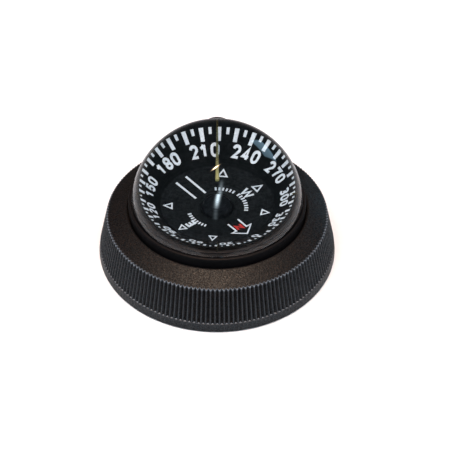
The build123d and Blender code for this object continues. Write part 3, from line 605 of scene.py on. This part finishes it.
def groove(angle):
    """Depth of the rib groove at an angle: 0 on a ridge, 1 in a valley."""
    across = abs((angle * RIB_COUNT / FULL + 0.5) % 1.0 - 0.5)
    rise = (across - RIB_CREST) / (0.5 - RIB_CREST)
    soft = 0.06
    return (rise + math.sqrt(rise * rise + soft * soft)) / (1 + math.sqrt(1 + soft * soft))


def rib_wall(angle, z):
    """Radius of the ribbed skirt at an angle and a height."""
    taper = (RIB_LOW_R - RIB_HIGH_R) / (RIB_HIGH_Z - FOOT_TOP)
    return RIB_LOW_R - taper * (z - FOOT_TOP) - RIB_DEPTH * groove(angle)


def plain(radius, z):
    """Row of the cover that has the same radius all the way round; rows give (r, z, share painted
    lighter as wear and painted highlight).
    """
    return lambda angle: (radius, z, 0.0)


def tooth_edge(inset, drop, wear_and_highlight):
    """Row near the upper edge of the ribs: inset along the cone and dropped below it."""
    def row(angle):
        radius = rib_wall(angle, RIB_HIGH_Z) - inset
        # third value: painted highlight and wear on the tooth tips, less in the grooves
        return radius, cone_z(radius) - drop, wear_and_highlight * (1 - 0.8 * groove(angle))
    return row


def skirt(z):
    """Row of the ribbed skirt at a height; only the narrow ridges are painted lighter, as rubbed wear
    and painted highlight.
    """
    return lambda angle: (rib_wall(angle, z), z, max(0.0, 0.20 - 2.0 * groove(angle)))


def ledge_corner(angle):
    """Row where the grooves run out on the foot's ledge; the ledge between the ribs gets a painted
    highlight.
    """
    return rib_wall(angle, FOOT_TOP) + 0.05, FOOT_TOP + 0.03, 0.9 * groove(angle)


def cover_rows():
    """Rows of the cover's closed profile, from the lip's bore over the top and back inside."""
    lip = rounded([(LIP_R, COVER_HIGH - COVER_WALL), (LIP_R, COVER_HIGH - 0.05, 0.9),
                   (RIB_HIGH_R - 1.6, cone_z(RIB_HIGH_R - 1.6))], 5)
    wall_high = RIB_HIGH_R - RIB_DEPTH - COVER_WALL
    wall_low = RIB_LOW_R - RIB_DEPTH - COVER_WALL - 0.4
    foot = rounded([(FOOT_LEDGE_R, FOOT_TOP), (BASE_R, COVER_LOW, 0.25),
                    (wall_low + 1.1, COVER_LOW)])
    inside = [(wall_low, FOOT_TOP), (wall_high + 0.1, cone_z(wall_high) - COVER_WALL - 1.0),
              (wall_high - 0.9, cone_z(wall_high) - COVER_WALL + 0.3)]
    rows = [plain(*p) for p in lip]
    rows.append(plain(RIB_HIGH_R - 1.1, cone_z(RIB_HIGH_R - 1.1)))
    rows += [tooth_edge(0.30, 0.0, 0.0), tooth_edge(0.16, 0.0, 0.8), tooth_edge(0.05, 0.06, 0.9),
             tooth_edge(0.0, 0.20, 0.6)]
    rows += [skirt(z) for z in (RIB_HIGH_Z - 0.9, 16.0, 10.0, FOOT_TOP + 0.25)]
    rows.append(ledge_corner)
    rows.append(lambda angle: (*foot[0], 0.05))
    rows += [plain(*p) for p in foot[1:] + inside]
    return rows


def build_cover(material):
    """Ribbed cover with its three bayonet lugs."""
    steps = RIB_COUNT * RIB_STEPS
    vertices, wear_and_highlight, rings = [], [], []
    for row in cover_rows():
        rings.append(range(len(vertices), len(vertices) + steps))
        for i in range(steps):
            angle = FULL * i / steps
            radius, z, wear_and_highlight_share = row(angle)
            vertices.append(polar(radius, angle, z))
            wear_and_highlight.append(wear_and_highlight_share)
    parts = [(vertices, ring_faces(rings, steps))]
    parts += [lug(k * FULL / LUG_COUNT) for k in range(LUG_COUNT)]
    vertices, faces = joined(parts)
    wear_and_highlight += [0.0] * (len(vertices) - len(wear_and_highlight))
    cover = make_object("cover_moulding", vertices, faces, [material], "cover",
                        sharp=50.0, wear_and_highlight=wear_and_highlight)
    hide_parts("cover_ring")


def lug(middle):
    """Bayonet lug centred on an angle."""
    steps = 16
    half = math.radians(LUG_HALF_ARC)
    vertices = []
    for i in range(steps + 1):
        angle = middle - half + 2 * half * i / steps
        vertices += [polar(LUG_R[0], angle, z) for z in LUG_Z]
        vertices += [polar(LUG_R[1], angle, z) for z in reversed(LUG_Z)]
    return vertices, strip_faces(steps + 1, 4)


def strip_faces(count, sides):
    """Faces of a closed bar made of cross-sections with a number of sides each."""
    faces = [list(range(sides)), list(range(count * sides - 1, (count - 1) * sides - 1, -1))]
    for k in range(count - 1):
        for i in range(sides):
            j = (i + 1) % sides
            a, b = k * sides, (k + 1) * sides
            faces.append([a + j, a + i, b + i, b + j])
    return faces


# ---- dome ---------------------------------------------------------------------------------
def build_dome(outside, inside):
    """Clear dome: outer face first, then the flange, then the inner face."""
    outer = arc((0, CENTRE_Z), DOME_R, 90, 0, 72)
    outer[0] = (0.0, DOME_TOP)
    flange = [(DOME_R, DOME_FLANGE_Z), (DOME_FLANGE_R, DOME_FLANGE_Z), (DOME_FLANGE_R, DOME_LOW),
              (DOME_R - DOME_WALL, DOME_LOW)]
    inner = arc((0, CENTRE_Z), DOME_R - DOME_WALL, 0, 90, 72)
    inner[-1] = (0.0, DOME_TOP - DOME_WALL)
    vertices, faces = lathe(outer + flange + inner, 256)
    dome = make_object("dome_shell", vertices, faces, [outside, inside], "capsule")
    inner_r = (DOME_R - DOME_WALL + 0.3) * MM
    for polygon in dome.data.polygons:
        offset = polygon.center - Vector((0, 0, CENTRE_Z * MM))
        flat = Vector((offset.x, offset.y, max(offset.z, 0)))
        polygon.material_index = 1 if flat.length < inner_r else 0
    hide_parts("dome")
    return dome


# ---- card ---------------------------------------------------------------------------------
def on_disc(heading, across, radius, lift):
    """Point of the flat disc: across from a heading's line at a distance from the centre."""
    x, y = across, radius
    turn = math.radians(HEADING - heading)
    return (x * math.cos(turn) - y * math.sin(turn), x * math.sin(turn) + y * math.cos(turn),
            DISC_Z + lift)


def on_band(heading, across, radius, lift):
    """Point of the conical band: across is measured along the circle through the digits."""
    middle = 22.8
    turn = math.radians(HEADING - heading) - across / middle
    z = BAND_IN[1] + BAND_SLOPE * (radius - BAND_IN[0]) + lift
    return (-radius * math.sin(turn), radius * math.cos(turn), z)


def build_card(material):
    """Flat disc with a fine groove around the hub and a raised conical band."""
    drop = CARD_T * math.hypot(1, BAND_SLOPE)
    hole_r, ring_r, ring_drop = 2.9, 5.4, 0.06
    profile = rounded([(hole_r, CARD_LOW), (DISC_R + 0.3, CARD_LOW, 0.4),
                       (CARD_R - 0.1, BAND_OUT[1] - drop), (CARD_R, BAND_HIGH), BAND_OUT, BAND_IN,
                       (DISC_R, DISC_Z, 0.1), (ring_r + 0.2, DISC_Z),
                       (ring_r + 0.1, DISC_Z - ring_drop), (ring_r - 0.1, DISC_Z - ring_drop),
                       (ring_r - 0.2, DISC_Z), (hole_r, DISC_Z)])
    vertices, faces = lathe(profile, 256)
    card = make_object("card_disc", vertices, faces, [material], "card")
    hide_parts("compass_card")
    return card


def build_hub(material):
    """Domed hub with a rounded shoulder, a spigot through the card and the cup's hole."""
    seat = DISC_Z + 0.05
    cup_r, cup_top = 2.05, 26.5
    spigot_r = 2.8
    profile = rounded([(cup_r, HUB_LOW), (spigot_r, HUB_LOW), (spigot_r, seat), (HUB_R, seat),
                       (HUB_R, seat + 1.1, 0.3), (HUB_R - 0.9, HUB_TOP - 0.5, 1.2),
                       (2.0, HUB_TOP - 0.06)], 6)
    profile += [(0.0, HUB_TOP), (0.0, cup_top), (cup_r, cup_top)]
    vertices, faces = lathe(profile, 128)
    hub = make_object("card_hub_cap", vertices, faces, [material], "card")
    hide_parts("card_hub")
    return hub


def ribbon(points, width, closed=False):
    """Pairs of edge points along a path drawn with a flat pen."""
    count = len(points)
    pairs = []
    for i in range(count):
        here = Vector(points[i])
        before = Vector(points[i - 1]) if (closed or i > 0) else None
        after = Vector(points[(i + 1) % count]) if (closed or i < count - 1) else None
        into = (here - before).normalized() if before is not None else (after - here).normalized()
        out = (after - here).normalized() if after is not None else into
        side = Vector((-(into + out).y, (into + out).x)).normalized()
        stretch = min(1.0 / max(side.dot(Vector((-into.y, into.x))), 0.01), 1.9)
        pairs.append((here + side * width / 2 * stretch, here - side * width / 2 * stretch))
    return pairs


def inked(points, width, place, closed=False, lift=0.01):
    """Thin solid that follows a path on the card; place maps a flat point and a lift to space."""
    vertices = []
    for left, right in ribbon(points, width, closed):
        vertices += [place(left, lift), place(right, lift)]
        vertices += [place(right, lift + INK), place(left, lift + INK)]
    count = len(vertices) // 4
    if not closed:
        return vertices, strip_faces(count, 4)
    rings = [[4 * i + side for i in range(count)] for side in range(4)]
    return vertices, ring_faces(rings, count)


def bowl(middle, half_height, start, end, steps, half_width=0.5):
    """Elliptical stretch of a stroke about a point on the box's middle line."""
    return arc((0.5, middle), (half_width, half_height), start, end, steps)


def glyph(character):
    """Pen strokes of a digit or letter in a box 1 wide and 1 high, as (points, closed) pairs."""
    strokes = {
        "0": [(bowl(0.70, 0.30, 0, 180, 8) + bowl(0.30, 0.30, 180, 360, 8), True)],
        "1": [([(-0.06, 0.72), (0.24, 0.80), (0.44, 1.0)], False),
              ([(0.50, 1.0), (0.50, 0.0)], False)],
        "2": [(bowl(0.70, 0.30, 170, -25, 9, 0.48) + [(0.06, 0.0), (1.0, 0.0)], False)],
        "3": [(arc((0.48, 0.74), (0.46, 0.26), 155, -80, 8)
               + arc((0.48, 0.25), (0.50, 0.25), 80, -155, 8), False)],
        "4": [([(0.70, 0.0), (0.70, 1.0), (0.0, 0.26), (1.02, 0.26)], False)],
        "5": [([(0.92, 1.0), (0.18, 1.0), (0.08, 0.52)]
               + arc((0.48, 0.31), (0.50, 0.31), 130, -150, 9), False)],
        "6": [(bowl(0.70, 0.30, 20, 180, 8, 0.48) + bowl(0.30, 0.30, 180, 520, 14), False)],
        "7": [([(0.0, 1.0), (1.0, 1.0), (0.62, 0.5), (0.42, 0.0)], False)],
        "8": [(bowl(0.74, 0.26, -90, 270, 14, 0.44)[:-1], True),
              (bowl(0.26, 0.26, 90, 450, 14)[:-1], True)],
        "9": [(bowl(0.30, 0.30, 200, 360, 8, 0.48) + bowl(0.70, 0.30, 0, 340, 14), False)],
        "N": [([(0.0, 0.0), (0.0, 1.0), (1.0, 0.0), (1.0, 1.0)], False)],
        "E": [([(1.0, 1.0), (0.0, 1.0), (0.0, 0.0), (1.0, 0.0)], False),
              ([(0.0, 0.5), (0.9, 0.5)], False)],
        "W": [([(0.0, 1.0), (0.24, 0.0), (0.5, 0.95), (0.76, 0.0), (1.0, 1.0)], False)],
    }
    return strokes[character]


def lettering(text, heading, base, size, pitch, pen, surface):
    """Solids of a word centred on a heading; size is the pen path's width and height."""
    parts = []
    first = -pitch * (len(text) - 1) / 2
    for k, character in enumerate(text):
        left = first + k * pitch - size[0] / 2
        for n, (points, closed) in enumerate(glyph(character)):
            path = [(left + x * size[0], base + y * size[1]) for x, y in points]
            place = lambda p, lift: surface(heading, p[0], p[1], lift)
            parts.append(inked(path, pen, place, closed, 0.01 + 0.008 * n))
    return parts


def build_numbers(material):
    """A number every 30 degrees, tops outward."""
    parts = []
    for heading in range(0, 360, 30):
        parts += lettering(str(heading), heading, DIGIT_BASE_R, DIGIT_SIZE, DIGIT_PITCH, DIGIT_PEN,
                           on_band)
    vertices, faces = joined(parts)
    make_object("card_numbers", vertices, faces, [material], "card")


def build_ticks(material):
    """A long line every 10 degrees and a short one between them."""
    parts = []
    for heading in range(0, 360, 5):
        inner, width = LONG_TICK if heading % 10 == 0 else SHORT_TICK
        place = lambda p, lift: on_band(heading, p[0], p[1], lift)
        parts.append(inked([(0, inner), (0, TICK_END_R)], width, place))
    vertices, faces = joined(parts)
    make_object("card_ticks", vertices, faces, [material], "card")


def disc_marks(heading, paths, pen):
    """Solids of closed or open paths on the disc about a heading's line."""
    place = lambda p, lift: on_disc(heading, p[0], p[1], lift)
    return [inked(points, pen, place, closed) for points, closed in paths]


def build_rose(material):
    """South lines, north arrow, east and west letters, six triangles and three arcs of dashes."""
    parts = disc_marks(180, [([(x, 8.3), (x, 17.25)], False) for x in (-2.0, 2.0)], 0.72)
    shaft, barb, neck, tip = 2.15, 4.1, 13.5, 17.2
    arrow = [(-shaft, 8.5), (-shaft, neck), (-barb, neck), (0, tip), (barb, neck), (shaft, neck),
             (shaft, 8.5)]
    parts += disc_marks(0, [(arrow, False)], 0.62)
    for heading in (45, 90, 135, 225, 270, 315):
        triangle = [(-1.3, 14.9), (1.3, 14.9), (0.0, 17.5)]
        parts += disc_marks(heading, [(triangle, True)], 0.5)
    parts += lettering("E", 90, 10.6, (1.8, 2.8), 1.0, 0.8, on_disc)
    parts += lettering("W", 270, 10.6, (3.5, 2.8), 1.0, 0.8, on_disc)
    for start, end in ((216, 254), (263, 319), (65, 116)):
        for heading in range(start, end, 7):
            parts += disc_marks(heading, [([(0, 8.9), (0, 10.2)], False)], 0.55)
    vertices, faces = joined(parts)
    make_object("card_rose", vertices, faces, [material], "card")


def build_north_letter(material):
    """Red N inside the arrow."""
    vertices, faces = joined(lettering("N", 0, 11.0, (1.9, 2.4), 1.0, 0.95, on_disc))
    make_object("card_north", vertices, faces, [material], "card")


# ---- lubber wires -------------------------------------------------------------------------
def wire_path(inner, drop):
    """(r, z) points of a wire from its foot over a rounded bend to its inner end."""
    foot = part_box("lubber_lines")[0].z / MM
    bend = arc((WIRE_FOOT_R - WIRE_BEND, WIRE_HIGH_Z - WIRE_BEND), WIRE_BEND, 0, 90, 8)
    return [(WIRE_FOOT_R, foot)] + bend + [(inner, WIRE_HIGH_Z - drop)]


def wire(angle, inner, drop, tip_half_width):
    """Round wire in the vertical plane at an angle; it widens evenly towards its inner end."""
    sides = 12
    path = wire_path(inner, drop)
    vertices = []
    for left, right in ribbon(path, 2 * WIRE_R):
        middle, normal = (left + right) / 2, (left - right) / 2
        share = (WIRE_FOOT_R - middle.x) / (WIRE_FOOT_R - inner)
        half_width = WIRE_HALF_WIDTH + (tip_half_width - WIRE_HALF_WIDTH) * max(share, 0.0)
        for i in range(sides):
            turn = FULL * i / sides
            r, z = middle + normal * math.cos(turn)
            side = half_width * math.sin(turn)
            x, y, _ = polar(r, angle, z)
            vertices.append((x - side * math.sin(angle), y + side * math.cos(angle), z))
    return vertices, strip_faces(len(path), sides)


def build_wires(material):
    """Main lubber line at the bow and five small marks."""
    end_r, tip_half_width = MAIN_WIRE_END
    parts = [wire(math.radians(90), end_r, MAIN_WIRE_DROP, tip_half_width)]
    for degrees in MARK_ANGLES:
        parts.append(wire(math.radians(degrees), MARK_END_R, MARK_DROP, WIRE_HALF_WIDTH))
    vertices, faces = joined(parts)
    wires = make_object("lubber_wires", vertices, faces, [material], "cradle",
                        sharp=60.0)
    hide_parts("lubber_lines")


# ---- studio -------------------------------------------------------------------------------
def floor_white():
    """White paper with a faint fibre, which runs into a white backdrop.

    In reflections the paper shows a painted pool of light close by that fades with distance, and painted
    shade at the stern; matt surfaces get a painted bluish bounce from it."""
    material, tree, output = new_material("floor_white")
    radius = radius_from_axis(tree)
    place = node(tree, "ShaderNodeTexCoord").outputs["Object"]
    x, y = node(tree, "ShaderNodeSeparateXYZ", Vector=place).outputs[:2]
    white = blended(tree, noise(tree, 3.0, 5.0), (0.86, 0.87, 0.88, 1), (0.90, 0.91, 0.92, 1))
    # painted pool of light: the paper as mirrored is bright near the compass and dims with distance
    near = maths(tree, "POWER", maths(tree, "DIVIDE", 0.097, radius), 2.2)
    painted_light_pool = maths(tree, "MINIMUM", near, 1.0)
    # painted shade: a dark patch in the paper's reflection beyond a curve at the stern
    curve = maths(tree, "MULTIPLY", maths(tree, "MULTIPLY", x, x), 12.5)
    painted_stern_shade = between(tree, maths(tree, "ADD", y, curve), -0.094, -0.102)
    mirrored = blended(tree, painted_light_pool, (0.01, 0.01, 0.01, 1), (0.54, 0.57, 0.60, 1))
    mirrored = blended(tree, painted_stern_shade, mirrored, (0.10, 0.10, 0.10, 1))
    # painted bounce light: to matt surfaces the paper is a bluish light near the compass, dim far away
    bounced = blended(tree, painted_light_pool, (0.05, 0.06, 0.075, 1), (0.21, 0.27, 0.35, 1))
    path = node(tree, "ShaderNodeLightPath").outputs
    colour = blended(tree, path["Is Glossy Ray"], white, mirrored)
    colour = blended(tree, path["Is Diffuse Ray"], colour, bounced)
    paper = node(tree, "ShaderNodeBsdfDiffuse", Color=colour)
    backdrop = node(tree, "ShaderNodeEmission", Color=(1, 1, 1, 1))
    seen = maths(tree, "MAXIMUM", path["Is Camera Ray"], path["Is Transmission Ray"])
    far = maths(tree, "MULTIPLY", between(tree, radius, 0.25, 0.60), seen)
    fade = linked(tree, "ShaderNodeMixShader", paper.outputs[0], backdrop.outputs[0], far)
    tree.links.new(fade, output.inputs[0])
    return material


def build_floor():
    """Large sheet under the object."""
    half = 3.0
    z = cad_box[0].z - 0.0002
    corners = [(-half, -half, z), (half, -half, z), (half, half, z), (-half, half, z)]
    mesh = bpy.data.meshes.new("floor")
    mesh.from_pydata(corners, [], [(0, 1, 2, 3)])
    mesh.materials.append(floor_white())
    sheet = bpy.data.objects.new("floor", mesh)
    bpy.context.scene.collection.objects.link(sheet)


def build_world():
    """White to the eye; dim in reflections above the horizon; soft fill on matt surfaces."""
    world = bpy.data.worlds.new("studio")
    bpy.context.scene.world = world
    world.use_nodes = True
    world.cycles.sampling_method = "NONE"
    tree = world.node_tree
    tree.nodes.clear()
    output = tree.nodes.new("ShaderNodeOutputWorld")
    path = node(tree, "ShaderNodeLightPath").outputs
    dim, fill = (0.004, 0.006, 0.008, 1), (0.25, 0.29, 0.34, 1)
    seen = maths(tree, "MAXIMUM", path["Is Camera Ray"], path["Is Transmission Ray"])
    colour = blended(tree, seen, blended(tree, path["Is Diffuse Ray"], dim, fill), (1, 1, 1, 1))
    background = node(tree, "ShaderNodeBackground", Color=colour, Strength=1.0)
    tree.links.new(background.outputs[0], output.inputs[0])


def area_light(name, azimuth, elevation, distance, size, power, colour, turn=0.0):
    """Rectangular light aimed at the dome, from a distance and of a size in metres.

    azimuth is in degrees clockwise from the bow; turn rolls the light about its own direction."""
    light = bpy.data.lights.new(name, "AREA")
    light.shape = "RECTANGLE"
    light.size, light.size_y = size
    light.energy = power
    light.color = colour
    lamp = bpy.data.objects.new(name, light)
    a = math.radians(azimuth)
    e = math.radians(elevation)
    away = Vector((math.sin(a) * math.cos(e), math.cos(a) * math.cos(e), math.sin(e)))
    target = Vector((0, 0, CENTRE_Z * MM))
    twist = Euler((0, 0, math.radians(turn))).to_quaternion()
    lamp.location = target + away * distance
    lamp.rotation_mode = "QUATERNION"
    lamp.rotation_quaternion = away.to_track_quat("Z", "Y") @ twist
    bpy.context.scene.collection.objects.link(lamp)
    return lamp


def light_all_but(lamp, pieces):
    """Makes a lamp light everything except some pieces."""
    group = bpy.data.collections.new(lamp.name + "_receivers")
    for piece in pieces:
        group.objects.link(piece)
    lamp.light_linking.receiver_collection = group
    for item in group.collection_objects:
        item.light_linking.link_state = "EXCLUDE"


def build_lights(spared):
    """Ceiling lamp and bluish window, which spare some pieces, and two broad fills."""
    warm, blue, cool_white = (1.0, 0.62, 0.42), (0.45, 0.78, 1.0), (0.94, 0.97, 1.0)
    ceiling = area_light("ceiling_lamp", -60, 87.7, 1.5, (0.30, 0.024), 13.0, warm, turn=-19.5)
    window = area_light("window", 41, 17.5, 1.2, (0.42, 0.27), 0.75, blue)
    light_all_but(ceiling, spared)
    light_all_but(window, spared)
    for azimuth in (-120, 150):
        fill = area_light("fill", azimuth, 60, 1.6, (1.2, 1.2), 14.0, cool_white)
        fill.visible_glossy = False
        fill.visible_transmission = False


def build_camera():
    """Camera above the stern side of the compass, aimed a little right of and below its middle."""
    camera = bpy.data.cameras.new("camera")
    camera.lens = 75.76
    camera.sensor_width = 36.0
    view = bpy.data.objects.new("camera", camera)
    target = Vector((0, 0, 0.0177))
    elevation, distance = math.radians(42.49), 0.472
    away = Vector((0, -math.cos(elevation), math.sin(elevation)))
    view.location = target + away * distance
    aside = Euler((math.radians(-0.605), math.radians(-0.612), 0))
    view.rotation_mode = "QUATERNION"
    view.rotation_quaternion = (-away).to_track_quat("-Z", "Y") @ aside.to_quaternion()
    bpy.context.scene.collection.objects.link(view)
    bpy.context.scene.camera = view


# ---- assembly -----------------------------------------------------------------------------
FINISHES = {finish.__name__: finish for finish in (
    cover_black, plate_black, collar_black, dome_clear, bowl_black, seal_rubber, grey_rubber,
    screw_steel, brass, plug_nylon, gimbal_black, pin_steel, lubber_yellow, card_black, hub_black,
    float_grey, magnet_steel, jewel_blue, frame_plastic, terminal_plastic, lens_red, bulb_glass,
    wire_sleeve)}


def paint_cad_parts(materials):
    """Gives every CAD node its slot's material in place of the imported one."""
    for part in frame["record"]["subparts"]:
        mesh = frame["nodes"][part["node"]].data
        mesh.materials.clear()
        mesh.materials.append(materials[part["material_slot"]])


def main():
    """Paints the CAD parts, builds the finer pieces and sets up the studio."""
    materials = {name: finish() for name, finish in FINISHES.items()}
    paint_cad_parts(materials)
    build_cover(materials["cover_black"])
    dome = build_dome(materials["dome_clear"], dome_inside())
    card = build_card(materials["card_black"])
    hub = build_hub(materials["hub_black"])
    white = print_white()
    build_numbers(white)
    build_ticks(white)
    build_rose(white)
    build_north_letter(print_red())
    build_wires(materials["lubber_yellow"])
    build_floor()
    build_world()
    build_lights([card, hub, dome])
    build_camera()
    bpy.context.scene.view_settings.view_transform = "Standard"


main()
